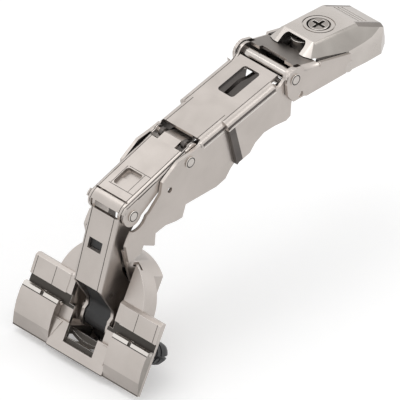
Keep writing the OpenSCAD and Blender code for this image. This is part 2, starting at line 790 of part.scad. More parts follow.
// Side view of a wing: a convex shell over the flange
module wing_profile() {
    difference() {
        wing_side();
        polygon([[8.9, -flange_t + 1], [8.9, -2.6], [10, -3], [14, -2.8], [18, -2], [20.4, -flange_t - 0.1], [20.4, -flange_t + 1]]);
    }
}

module wing_side() {
    disc(clamp_uw, 1.1);
    polygon([
        clamp_uw + [-1.1, 0], clamp_uw + [-0.7, -1.3], [10, -4.1], [14, -3.9], [18, -3.1], [21, -2], [22.6, -1.1 - slide_gap],
        [22.6, -flange_t - 0.1], clamp_uw + [0, 1.1]
    ]);
}

module clamp_lever() {
    wall = 1;
    plate_w = -flange_t - 1.1;
    side_in = cup_link_half + slide_gap;
    color(steel) on_cup() difference() {
        union() {
            for (s = [0, 1]) mirror([s, 0, 0]) {
                translate([wing_in, 0, 0]) rotate([90, 0, 90]) linear_extrude(flange_half - wing_in) wing_profile();
                translate([wing_in, 0, 0]) rotate([90, 0, 90]) linear_extrude(wall) wing_side();
                translate([flange_half - wall, 0, 0]) rotate([90, 0, 90]) linear_extrude(wall) wing_side();
                // Plate beside the mouth, with a pressed triangle
                translate([side_in, 12.4, plate_w]) cube([wing_in - side_in + tiny, 10.2, 1]);
                translate([0, 0, plate_w - 0.35]) linear_extrude(0.35 + tiny)
                    polygon([[wing_in - 0.6, 12.9], [wing_in - 3.4, 12.9], [wing_in - 0.6, 19]]);
            }
            // Low plate that joins the wings below the mouth
            translate([-wing_in - tiny, 17, plate_w]) cube([2 * wing_in + 2 * tiny, 5.6, 1]);
        }
        translate([0, clamp_uw[0], clamp_uw[1]]) rotate([0, 90, 0]) cylinder(r = 0.7 + pin_gap, h = 80, center = true);
        // Room for the cup link when the door is closed
        translate([-side_in, 10, -8]) cube([2 * side_in, 8.8, 8]);
    }
}

module clamp_pin() {
    run = flange_half - wing_in + 0.6;
    color(bright) on_cup() for (s = [-1, 1])
        translate([s * (flange_half - run / 2), clamp_uw[0], clamp_uw[1]]) rotate([0, 90, 0])
            cylinder(r = 0.7, h = run, center = true);
}

// A slotted expanding dowel
module dowel(side) {
    color(black) on_cup() translate([side * dowel_side, dowel_off, 0]) difference() {
        union() {
            translate([0, 0, -dowel_seat]) cylinder(r = dowel_r, h = dowel_len - 2 + dowel_seat);
            translate([0, 0, dowel_len - 2]) cylinder(r1 = dowel_r, r2 = dowel_r - 0.8, h = 2);
            translate([0, 0, -flange_t]) cylinder(r = 2.5, h = flange_t + tiny);
        }
        translate([0, 0, -5]) cylinder(r = 1.4 + pin_gap, h = dowel_len + 3.5);
        for (a = [0, 90]) rotate([0, 0, a]) translate([-dowel_r - 1, -0.4, 3]) cube([2 * dowel_r + 2, 0.8, dowel_len]);
        for (z = [2, 4.2, 6.4]) translate([0, 0, z]) difference() {
            cylinder(r = dowel_r + 1, h = 0.6);
            translate([0, 0, -1]) cylinder(r = dowel_r - 0.4, h = 3);
        }
    }
}

module dowel_left() {
    dowel(-1);
}

module dowel_right() {
    dowel(1);
}

module dowel_screws() {
    color(bright) on_cup() for (s = [-1, 1]) translate([s * dowel_side, dowel_off, -flange_t]) {
        cylinder(r = 1.4, h = dowel_len - 1);
    }
}

module closing_spring() {
    color(bright) on_cup() translate([-3.2, 0, 0]) rotate([90, 0, 90]) linear_extrude(6.4) polygon([
        [-14.2, 10], [-13.6, 10], [-12.4, 11.2], [2, 11.2], [2, 11.75], [-12.8, 11.75], [-14.2, 10.6]
    ]);
}

arm_body();
arm_channel();
side_screw();
depth_cam();
release_lever();
release_pin();
release_spring();
front_pin();
control_pin();
control_link();
outer_link();
middle_pin();
inner_link();
tie_pin();
knuckle_pin();
knuckle_washers();
cup_link();
damper_housing();
damper_piston();
damper_pin();
rear_axle();
cup();
front_axle();
clamp_lever();
clamp_pin();
dowel_left();
dowel_right();
dowel_screws();
closing_spring();
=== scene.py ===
"""Looks of a concealed cup hinge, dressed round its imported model.

Every size is in metres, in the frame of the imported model: +X runs along the pins, +Y from the
cup to the rear of the arm and +Z into the cabinet.
"""

from __future__ import annotations

import json
import logging
import math
from contextlib import contextmanager
from dataclasses import dataclass, field
from enum import Enum
from functools import partial
from typing import Callable, ClassVar, Iterator

import bmesh
import bpy
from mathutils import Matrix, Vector

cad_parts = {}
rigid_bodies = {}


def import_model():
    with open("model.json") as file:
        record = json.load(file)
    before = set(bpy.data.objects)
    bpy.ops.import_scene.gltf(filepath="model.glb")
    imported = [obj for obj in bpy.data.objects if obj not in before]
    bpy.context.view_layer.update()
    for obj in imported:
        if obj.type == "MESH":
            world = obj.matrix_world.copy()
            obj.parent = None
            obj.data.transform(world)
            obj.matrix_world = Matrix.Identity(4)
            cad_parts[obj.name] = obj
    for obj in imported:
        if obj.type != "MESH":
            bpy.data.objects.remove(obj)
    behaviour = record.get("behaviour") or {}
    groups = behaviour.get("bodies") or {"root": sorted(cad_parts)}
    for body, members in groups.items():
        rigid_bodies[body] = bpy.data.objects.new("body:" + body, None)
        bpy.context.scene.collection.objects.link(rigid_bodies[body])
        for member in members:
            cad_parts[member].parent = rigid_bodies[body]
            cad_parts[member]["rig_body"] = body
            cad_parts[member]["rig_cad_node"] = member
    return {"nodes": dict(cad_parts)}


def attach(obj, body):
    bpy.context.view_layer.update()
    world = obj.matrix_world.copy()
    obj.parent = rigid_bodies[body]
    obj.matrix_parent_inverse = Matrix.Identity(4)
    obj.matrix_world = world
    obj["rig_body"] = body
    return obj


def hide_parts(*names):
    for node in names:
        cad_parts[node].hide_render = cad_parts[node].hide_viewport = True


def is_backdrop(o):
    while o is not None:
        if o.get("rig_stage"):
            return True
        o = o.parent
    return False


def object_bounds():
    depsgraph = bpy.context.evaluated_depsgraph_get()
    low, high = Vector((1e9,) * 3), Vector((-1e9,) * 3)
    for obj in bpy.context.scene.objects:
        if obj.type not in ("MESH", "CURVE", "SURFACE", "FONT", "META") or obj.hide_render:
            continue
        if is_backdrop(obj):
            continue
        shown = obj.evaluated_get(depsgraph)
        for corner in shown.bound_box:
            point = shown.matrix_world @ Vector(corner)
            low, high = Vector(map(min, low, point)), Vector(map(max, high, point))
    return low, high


LOG = logging.getLogger("cup_hinge")
MM = 0.001
BESIDE = Vector((1, 0, 0))
LEVEL = Vector((0, 0, 1))
BOTH_SIDES = (-1, 1)
# Places of the common finishes among a piece's material slots: faces, rounded edges (mostly a painted
# highlight) and lines of painted shade
FACE_INDEX, EDGE_INDEX, SHADE_LINE_INDEX, FIRST_ZONE = range(4)
# Shares of the grain and of the handling marks in the mix of a finish's two tones
GRAIN_SHARE, MARKS_SHARE = 0.35, 0.65
Piece = bpy.types.Object
Pair = tuple[float, float]
Triple = tuple[float, float, float]
# Takes a face's centre and normal, and says if the face is wanted
FaceTest = Callable[[Vector, Vector], bool]


class Body(Enum):
    """Moving parts of the hinge that a piece can ride on."""

    ARM = "arm"
    CHANNEL = "channel"
    OUTER = "outer"
    INNER = "inner"
    CONTROL = "control"
    CUP_ARM = "cup_arm"
    PISTON = "piston"
    CUP = "cup"
    CLAMP = "clamp"
    SCREW = "screw"
    CAM = "cam"
    RELEASE = "release"


class Slot(Enum):
    """Material slots of the record."""

    NICKEL = "nickel"
    CASTING = "die_cast"
    DARK = "dark_steel"
    BRIGHT = "bright_steel"
    PLASTIC = "black_plastic"


class Bench:
    """The workbench: selection, edit mode and modifiers, on one piece at a time.

    Attributes:
        FACING: Least share of a face's normal along the direction that it faces.
        WELD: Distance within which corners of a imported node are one, in metres.
        FLAT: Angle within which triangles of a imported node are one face, in degrees.
        FULL_WEIGHT: Weight of the large faces in the shading.
    """

    FACING = 0.15
    WELD = 1e-6
    FLAT = 0.6
    FULL_WEIGHT = 100

    @staticmethod
    def clear() -> None:
        """Deselects every object."""
        bpy.ops.object.select_all(action="DESELECT")

    @staticmethod
    def pick(piece: Piece) -> None:
        """Makes one piece the only selected and the active one.

        Args:
            piece: The mesh.
        """
        Bench.clear()
        piece.select_set(True)
        bpy.context.view_layer.objects.active = piece

    @staticmethod
    @contextmanager
    def editing(piece: Piece, kind: str = "FACE") -> Iterator[bmesh.types.BMesh]:
        """Opens a piece in edit mode with nothing selected.

        Args:
            piece: The mesh to edit.
            kind: VERT, EDGE or FACE.

        Returns:
            The mesh's editing data, until the block ends.
        """
        Bench.pick(piece)
        bpy.ops.object.mode_set(mode="EDIT")
        bpy.ops.mesh.select_mode(type=kind)
        bpy.ops.mesh.select_all(action="DESELECT")
        yield bmesh.from_edit_mesh(piece.data)
        bpy.ops.object.mode_set(mode="OBJECT")

    @staticmethod
    def choose(piece: Piece, data: bmesh.types.BMesh, test: FaceTest) -> None:
        """Selects the faces that pass a test of their centre and normal.

        Args:
            piece: The mesh in edit mode.
            data: Its editing data.
            test: Tells the faces.
        """
        for face in data.faces:
            face.select_set(test(face.calc_center_median(), face.normal))
        bmesh.update_edit_mesh(piece.data)

    @staticmethod
    def apply(piece: Piece) -> None:
        """Applies every modifier of a piece, in order.

        Args:
            piece: The mesh.
        """
        Bench.pick(piece)
        for name in [m.name for m in piece.modifiers]:
            bpy.ops.object.modifier_apply(modifier=name)

    @staticmethod
    def settle(piece: Piece) -> None:
        """Puts a piece's place, turn and size into its mesh.

        Args:
            piece: The mesh.
        """
        Bench.pick(piece)
        bpy.ops.object.transform_apply(location=True, rotation=True, scale=True)

    @staticmethod
    def smooth(piece: Piece, degrees: float = 34) -> None:
        """Shades a piece smooth between sharp edges, with its large faces kept flat.

        Args:
            piece: The mesh.
            degrees: Edges sharper than this stay sharp.
        """
        Bench.pick(piece)
        bpy.ops.object.shade_smooth_by_angle(angle=math.radians(degrees))
        weighted = piece.modifiers.new("flat_faces", "WEIGHTED_NORMAL")
        weighted.weight = Bench.FULL_WEIGHT
        weighted.keep_sharp = True
        Bench.apply(piece)

    @staticmethod
    def score(piece: Piece, point: Vector, normal: Vector, facing: Vector | None = None) -> None:
        """Cuts a line of edges round a piece, along a plane.

        Args:
            piece: The mesh.
            point: A point of the plane.
            normal: The plane's normal.
            facing: Where given, only the faces that look this way are cut.
        """
        with Bench.editing(piece) as data:
            Bench.choose(piece, data, lambda c, n: facing is None or n.dot(facing) > Bench.FACING)
            bpy.ops.mesh.bisect(plane_co=point, plane_no=normal)

    @staticmethod
    def assign(piece: Piece, test: FaceTest, slot: int) -> None:
        """Gives the faces that pass a test one of the piece's material slots.

        Args:
            piece: The mesh.
            test: Tells the faces.
            slot: Index of the slot.
        """
        with Bench.editing(piece) as data:
            Bench.choose(piece, data, test)
            piece.active_material_index = slot
            bpy.ops.object.material_slot_assign()

    @staticmethod
    def sink(piece: Piece, test: FaceTest, depth: float) -> None:
        """Presses the faces that pass a test into a piece.

        Args:
            piece: The mesh.
            test: Tells the faces.
            depth: Depth of the recess, in metres.
        """
        with Bench.editing(piece) as data:
            Bench.choose(piece, data, test)
            bpy.ops.mesh.extrude_region_shrink_fatten(TRANSFORM_OT_shrink_fatten={"value": -depth})

    @staticmethod
    def merged_copy(source: Piece, name: str) -> Piece:
        """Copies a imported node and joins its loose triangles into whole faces.

        Args:
            source: The node's object.
            name: The copy's name.

        Returns:
            The copy, free of its body.
        """
        Bench.pick(source)
        bpy.ops.object.duplicate()
        piece = bpy.context.active_object
        bpy.ops.object.parent_clear(type="CLEAR_KEEP_TRANSFORM")
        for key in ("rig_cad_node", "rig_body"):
            del piece[key]
        piece.name = name
        piece.data.name = name
        with Bench.editing(piece, "VERT"):
            bpy.ops.mesh.select_all(action="SELECT")
            bpy.ops.mesh.remove_doubles(threshold=Bench.WELD)
            bpy.ops.mesh.dissolve_limited(angle_limit=math.radians(Bench.FLAT))
        return piece

    @staticmethod
    def round_edges(piece: Piece, width: float, slot: int, above: float = 28,
                    steps: int = 2) -> None:
        """Rounds the outer corners of a piece and gives the new faces a slot of their own.

        Args:
            piece: The mesh, with its faces merged.
            width: Width of the rounding, in metres.
            slot: Index of the material slot of the rounding.
            above: Corners sharper than this, in degrees, are rounded.
            steps: Number of faces across the rounding.
        """
        with Bench.editing(piece, "EDGE") as data:
            weights = data.edges.layers.float.new("bevel_weight_edge")
            for edge in data.edges:
                sharp = len(edge.link_faces) == 2 and edge.calc_face_angle() > math.radians(above)
                edge[weights] = 1.0 if sharp and edge.is_convex else 0.0
            bmesh.update_edit_mesh(piece.data)
        bevel = piece.modifiers.new("rounding", "BEVEL")
        bevel.width = width
        bevel.segments = steps
        bevel.limit_method = "WEIGHT"
        bevel.material = slot
        Bench.apply(piece)


class Effects:
    """Shader node groups that several finishes share, each built once."""

    def __init__(self) -> None:
        """Builds the groups."""
        self.grain = self._grain()
        self.marks = self._marks()

    @staticmethod
    def _grain() -> bpy.types.ShaderNodeTree:
        """Builds the fine grain of a surface.

        Returns:
            A group that takes Stretch and Depth, and puts out Tone and Normal.
        """
        tree = bpy.data.node_groups.new("fine_grain", "ShaderNodeTree")
        face = tree.interface
        face.new_socket("Stretch", in_out="INPUT", socket_type="NodeSocketVector")
        face.new_socket("Depth", in_out="INPUT", socket_type="NodeSocketFloat")
        face.new_socket("Tone", in_out="OUTPUT", socket_type="NodeSocketFloat")
        face.new_socket("Normal", in_out="OUTPUT", socket_type="NodeSocketVector")
        make, link = tree.nodes.new, tree.links.new
        given, result = make("NodeGroupInput"), make("NodeGroupOutput")
        place = make("ShaderNodeTexCoord")
        stretch = make("ShaderNodeVectorMath")
        stretch.operation = "MULTIPLY"
        noise = make("ShaderNodeTexNoise")
        noise.inputs["Scale"].default_value = 1.0
        noise.inputs["Detail"].default_value = 3.0
        bump = make("ShaderNodeBump")
        bump.inputs["Distance"].default_value = 0.00002
        link(place.outputs["Object"], stretch.inputs[0])
        link(given.outputs["Stretch"], stretch.inputs[1])
        link(stretch.outputs[0], noise.inputs["Vector"])
        link(noise.outputs["Fac"], bump.inputs["Height"])
        link(given.outputs["Depth"], bump.inputs["Strength"])
        link(noise.outputs["Fac"], result.inputs["Tone"])
        link(bump.outputs["Normal"], result.inputs["Normal"])
        return tree

    @staticmethod
    def _marks() -> bpy.types.ShaderNodeTree:
        """Builds the soft marks that handling and plating leave.

        Returns:
            A group that takes Size, in marks to the metre, and puts out Mask.
        """
        tree = bpy.data.node_groups.new("handling_marks", "ShaderNodeTree")
        face = tree.interface
        face.new_socket("Size", in_out="INPUT", socket_type="NodeSocketFloat")
        face.new_socket("Mask", in_out="OUTPUT", socket_type="NodeSocketFloat")
        make, link = tree.nodes.new, tree.links.new
        given, result = make("NodeGroupInput"), make("NodeGroupOutput")
        place = make("ShaderNodeTexCoord")
        noise = make("ShaderNodeTexNoise")
        noise.inputs["Detail"].default_value = 4.0
        noise.inputs["Distortion"].default_value = 0.4
        span = make("ShaderNodeMapRange")
        span.inputs["From Min"].default_value = 0.35
        span.inputs["From Max"].default_value = 0.68
        link(place.outputs["Object"], noise.inputs["Vector"])
        link(given.outputs["Size"], noise.inputs["Scale"])
        link(noise.outputs["Fac"], span.inputs["Value"])
        link(span.outputs["Result"], result.inputs["Mask"])
        return tree


@dataclass(frozen=True)
class Finish:
    """A finish of the hinge's surfaces, between two tones.

    Attributes:
        name: Name of the material.
        low: Darker tone.
        high: Lighter tone.
        rough: Roughness where nothing marks it.
        marked: Roughness where handling marks it.
        metallic: 1 for metal and 0 for plastic.
        stretch: Grain lines to the metre, along each axis.
        depth: Strength of the grain's relief.
        marks: Marks to the metre.
    """

    name: str
    low: Triple
    high: Triple
    rough: float = 0.3
    marked: float = 0.38
    metallic: float = 1.0
    stretch: Triple = (2600.0, 2600.0, 2600.0)
    depth: float = 0.12
    marks: float = 90.0

    def material(self, effects: Effects) -> bpy.types.Material:
        """Builds the material.

        Args:
            effects: The shared node groups.

        Returns:
            The new material.
        """
        made = bpy.data.materials.new(self.name)
        made.use_nodes = True
        tree = made.node_tree
        make, link = tree.nodes.new, tree.links.new
        shader = tree.nodes["Principled BSDF"]
        shader.inputs["Metallic"].default_value = self.metallic
        grain = make("ShaderNodeGroup")
        grain.node_tree = effects.grain
        grain.inputs["Stretch"].default_value = self.stretch
        grain.inputs["Depth"].default_value = self.depth
        marks = make("ShaderNodeGroup")
        marks.node_tree = effects.marks
        marks.inputs["Size"].default_value = self.marks
        # Inputs 6 and 7 of the mix are its two colours, and output 2 is the mixed one.
        tones = make("ShaderNodeMix")
        tones.data_type = "RGBA"
        tones.inputs[6].default_value = (*self.low, 1)
        tones.inputs[7].default_value = (*self.high, 1)
        share = make("ShaderNodeMath")
        share.operation = "MULTIPLY_ADD"
        share.inputs[1].default_value = GRAIN_SHARE
        share.use_clamp = True
        half = make("ShaderNodeMath")
        half.operation = "MULTIPLY"
        half.inputs[1].default_value = MARKS_SHARE
        rough = make("ShaderNodeMapRange")
        rough.inputs["To Min"].default_value = self.rough
        rough.inputs["To Max"].default_value = self.marked
        link(marks.outputs["Mask"], half.inputs[0])
        link(grain.outputs["Tone"], share.inputs[0])
        link(half.outputs[0], share.inputs[2])
        link(share.outputs[0], tones.inputs[0])
        link(tones.outputs[2], shader.inputs["Base Color"])
        link(marks.outputs["Mask"], rough.inputs["Value"])
        link(rough.outputs["Result"], shader.inputs["Roughness"])
        link(grain.outputs["Normal"], shader.inputs["Normal"])
        return made


NICKEL = Finish("nickel_sheet", (0.52, 0.475, 0.44), (0.6, 0.55, 0.515))
CAST = Finish("nickel_casting", (0.55, 0.51, 0.475), (0.63, 0.585, 0.55), rough=0.26, marked=0.33, depth=0.2)
# Brighter tone of rounded edges, of a lip and of upward faces: a painted highlight
EDGE = Finish("painted_edge_highlight", (0.7, 0.66, 0.62), (0.8, 0.76, 0.72), rough=0.2, marked=0.28, depth=0.05)
# Dark tone for webs, slope bands, grooves, pocket walls and inner ends: painted shade
SHADE = Finish("shaded_nickel", (0.2, 0.18, 0.165), (0.29, 0.265, 0.245), rough=0.3, marked=0.4)
PIN = Finish("polished_pin", (0.55, 0.51, 0.48), (0.68, 0.64, 0.6), rough=0.18, marked=0.25, depth=0.05)
DARK = Finish("dark_steel", (0.16, 0.145, 0.135), (0.26, 0.24, 0.22), rough=0.3, marked=0.4)
# Near-black painted shade for creases, gaps, hollows, notches and rivet rings
SHADE_LINE = Finish("painted_shade_line", (0.05, 0.045, 0.04), (0.09, 0.08, 0.07), rough=0.45, marked=0.55, metallic=0.6)
# Deeper tone for bands, the step, insides, the control link and hidden plates: painted shade
DEEP = Finish("deep_shade", (0.1, 0.09, 0.085), (0.16, 0.145, 0.135), rough=0.35, marked=0.45)
# Mid-dark tone for the cup link's sides and the clamp lever's lower band: painted shade
BAND = Finish("shaded_band", (0.4, 0.365, 0.34), (0.48, 0.44, 0.41))
HEAD = Finish("screw_head", (0.28, 0.255, 0.235), (0.44, 0.4, 0.37), rough=0.2, marked=0.3)
# Mid-dark tone for the cover's side facets and the clamp lever's ends: painted shade
SHADED_SIDE = Finish("side_facet_painted_shade", (0.34, 0.315, 0.29), (0.44, 0.41, 0.38), rough=0.28, marked=0.36)
PLASTIC = Finish("black_plastic", (0.018, 0.018, 0.019), (0.035, 0.034, 0.034), rough=0.38, marked=0.5,
                 metallic=0.0, stretch=(6000.0, 6000.0, 6000.0), depth=0.15)


@dataclass
class Workshop:
    """What every sub-assembly works with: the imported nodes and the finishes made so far.

    Attributes:
        nodes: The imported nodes' objects by name.
        effects: The shared node groups.
        made: The materials made so far, by name.
    """

    nodes: dict[str, Piece]
    effects: Effects = field(default_factory=Effects)
    made: dict[str, bpy.types.Material] = field(default_factory=dict)

    def finish(self, finish: Finish) -> bpy.types.Material:
        """Gives the material of a finish, made on its first use.

        Args:
            finish: The finish.

        Returns:
            Its material.
        """
        if finish.name not in self.made:
            self.made[finish.name] = finish.material(self.effects)
        return self.made[finish.name]

    def copy_of(self, node: str, *finishes: Finish) -> Piece:
        """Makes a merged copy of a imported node, all in the first of its finishes.

        Args:
            node: The node's name.
            finishes: Its finishes, in the order of its slots.

        Returns:
            The copy.
        """
        piece = Bench.merged_copy(self.nodes[node], f"{node}_finished")
        piece.data.materials.clear()
        self.dress(piece, *finishes)
        for face in piece.data.polygons:
            face.material_index = FACE_INDEX
        return piece

    def dress(self, piece: Piece, *finishes: Finish) -> None:
        """Sets the material slots of a piece.

        Args:
            piece: The mesh.
            finishes: Its finishes, in the order of its slots.
        """
        while len(piece.data.materials) < len(finishes):
            piece.data.materials.append(None)
        for index, finish in enumerate(finishes):
            piece.data.materials[index] = self.finish(finish)

    def place(self, piece: Piece, body: Body, slot: Slot, *stands_for: str) -> None:
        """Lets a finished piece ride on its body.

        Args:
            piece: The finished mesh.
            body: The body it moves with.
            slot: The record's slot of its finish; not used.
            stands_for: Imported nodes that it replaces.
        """
        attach(piece, body.value)
        if stands_for:
            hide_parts(*stands_for)
        LOG.info("%s rides on %s with %d faces", piece.name, body.value, len(piece.data.polygons))


@dataclass(frozen=True)
class Score:
    """A plane along which a pressing is scored before its faces are chosen.

    Attributes:
        point: A point of the plane.
        normal: The plane's normal.
        facing: Where given, only the faces that look this way are cut.
    """

    point: Vector
    normal: Vector
    facing: Vector | None = None


@dataclass(frozen=True)
class Zone:
    """Faces of a pressing that take another finish.

    Attributes:
        finish: Their finish.
        test: Tells the faces.
        depth: How far they are pressed in.
        over_edges: If the rounded edges take the finish too.
    """

    finish: Finish
    test: FaceTest
    depth: float = 0.0
    over_edges: bool = False


@dataclass(frozen=True)
class Crease:
    """A fine line of painted shade along a plane, on the faces that pass a test.

    Attributes:
        point: A point of the plane.
        normal: The plane's normal.
        test: Tells the faces.
        width: Width of the line.
        facing: Where given, only the faces that look this way are cut.
        REACH: Share of the width within which a face belongs to the line.
    """

    REACH: ClassVar[float] = 0.6

    point: Vector
    normal: Vector
    test: FaceTest
    width: float = 0.28 * MM
    facing: Vector | None = None

    @classmethod
    def beside(cls, place: float, *rest: object) -> Crease:
        """Gives the crease at a place beside the middle.

        Args:
            place: Distance to the right of the middle.
            rest: The crease's test, and its width and facing where they are given.

        Returns:
            The crease.
        """
        return cls(BESIDE * place, BESIDE, *rest)


@dataclass(frozen=True)
class Line:
    """The straight line of a link in its side view.

    Attributes:
        start: The link's first pivot.
        degrees: Direction of the line, from +Y towards +Z.
    """

    start: Vector
    degrees: float

    @property
    def along(self) -> Vector:
        """Direction of the line."""
        return Vector((0, math.cos(math.radians(self.degrees)), math.sin(math.radians(self.degrees))))

    @property
    def up(self) -> Vector:
        """Direction across the line, a quarter turn back from it."""
        return Vector((0, math.sin(math.radians(self.degrees)), -math.cos(math.radians(self.degrees))))

    def at(self, run: float, rise: float = 0.0) -> Vector:
        """Gives a point by its millimetres along and over the line."""
        return self.start + (self.along * run + self.up * rise) * MM

    def run(self, point: Vector) -> float:
        """Gives a point's place along the line, in millimetres."""
        return (point - self.start).dot(self.along) / MM

    def rise(self, point: Vector) -> float:
        """Gives a point's height over the line, in millimetres."""
        return (point - self.start).dot(self.up) / MM

    def below(self, face: Pair, point: Vector) -> float:
        """Gives a point's depth under a face of a given height over the line and rise along it."""
        return face[0] + face[1] * self.run(point) - self.rise(point)


OUTER_LENGTH = 47.4
OUTER_LINE = Line(start=Vector((0, -22, 9.6)) * MM, degrees=194)
INNER_LINE = Line(start=OUTER_LINE.at(OUTER_LENGTH), degrees=201.6)


@dataclass
class Pressing:
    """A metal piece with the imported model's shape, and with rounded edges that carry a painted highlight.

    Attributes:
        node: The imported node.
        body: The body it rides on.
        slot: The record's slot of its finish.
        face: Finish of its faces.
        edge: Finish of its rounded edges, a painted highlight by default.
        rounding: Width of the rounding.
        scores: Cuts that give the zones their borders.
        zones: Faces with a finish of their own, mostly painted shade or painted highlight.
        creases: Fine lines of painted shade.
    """

    node: str
    body: Body
    slot: Slot = Slot.NICKEL
    face: Finish = NICKEL
    edge: Finish = EDGE
    rounding: float = 0.2 * MM
    scores: tuple[Score, ...] = ()
    zones: tuple[Zone, ...] = ()
    creases: tuple[Crease, ...] = ()

    def build(self, shop: Workshop) -> None:
        """Makes the piece in place of its node.

        Args:
            shop: The nodes and finishes.
        """
        piece = shop.copy_of(self.node, self.face, self.edge, SHADE_LINE, *(zone.finish for zone in self.zones))
        for score in self.scores:
            Bench.score(piece, score.point, score.normal, score.facing)
        for index, zone in enumerate(self.zones, FIRST_ZONE):
            Bench.assign(piece, zone.test, index)
            if zone.depth:
                Bench.sink(piece, zone.test, zone.depth)
        Bench.round_edges(piece, self.rounding, EDGE_INDEX)
        for index, zone in enumerate(self.zones, FIRST_ZONE):
            if zone.over_edges:
                Bench.assign(piece, zone.test, index)
        for crease in self.creases:
            self._crease(piece, crease)
        Bench.smooth(piece)
        shop.place(piece, self.body, self.slot, self.node)

    @staticmethod
    def _crease(piece: Piece, crease: Crease) -> None:
        """Paints a crease's line of shade between two scored lines.

        Args:
            piece: The mesh.
            crease: The crease.
        """
        way = crease.normal.normalized()
        half = way * crease.width / 2
        for side in BOTH_SIDES:
            Bench.score(piece, crease.point + half * side, crease.normal, crease.facing)
        within = crease.width * Crease.REACH

        def drawn(centre: Vector, normal: Vector) -> bool:
            """Tells the faces between the two lines."""
            return abs((centre - crease.point).dot(way)) < within and crease.test(centre, normal)

        Bench.assign(piece, drawn, SHADE_LINE_INDEX)


@dataclass
class Rivet:
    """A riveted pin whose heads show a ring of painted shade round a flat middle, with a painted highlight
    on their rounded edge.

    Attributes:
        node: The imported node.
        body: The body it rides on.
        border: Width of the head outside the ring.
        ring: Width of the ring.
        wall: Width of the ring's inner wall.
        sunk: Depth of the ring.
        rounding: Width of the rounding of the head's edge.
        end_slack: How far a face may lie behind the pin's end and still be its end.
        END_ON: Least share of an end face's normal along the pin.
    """

    END_ON: ClassVar[float] = 0.99

    node: str
    body: Body
    border: float = 0.12 * MM
    ring: float = 0.34 * MM
    wall: float = 0.05 * MM
    sunk: float = 0.12 * MM
    rounding: float = 0.1 * MM
    end_slack: float = 0.02 * MM

    def build(self, shop: Workshop) -> None:
        """Makes the pin in place of its node.

        Args:
            shop: The nodes and finishes.
        """
        pin = shop.copy_of(self.node, PIN, EDGE, SHADE_LINE)
        end = max(abs(v.co.x) for v in pin.data.vertices) - self.end_slack
        Bench.round_edges(pin, self.rounding, EDGE_INDEX)
        for side in BOTH_SIDES:
            with Bench.editing(pin) as data:
                Bench.choose(pin, data, lambda c, n: c.x * side > end and n.x * side > Rivet.END_ON)
                bpy.ops.mesh.inset(thickness=self.border, use_even_offset=True)
                pin.active_material_index = SHADE_LINE_INDEX
                bpy.ops.object.material_slot_assign()
                bpy.ops.mesh.inset(thickness=self.ring, depth=-self.sunk, use_even_offset=True)
                bpy.ops.mesh.inset(thickness=self.wall, depth=self.sunk, use_even_offset=True)
                pin.active_material_index = FACE_INDEX
                bpy.ops.object.material_slot_assign()
        Bench.smooth(pin)
        shop.place(pin, self.body, Slot.BRIGHT, self.node)


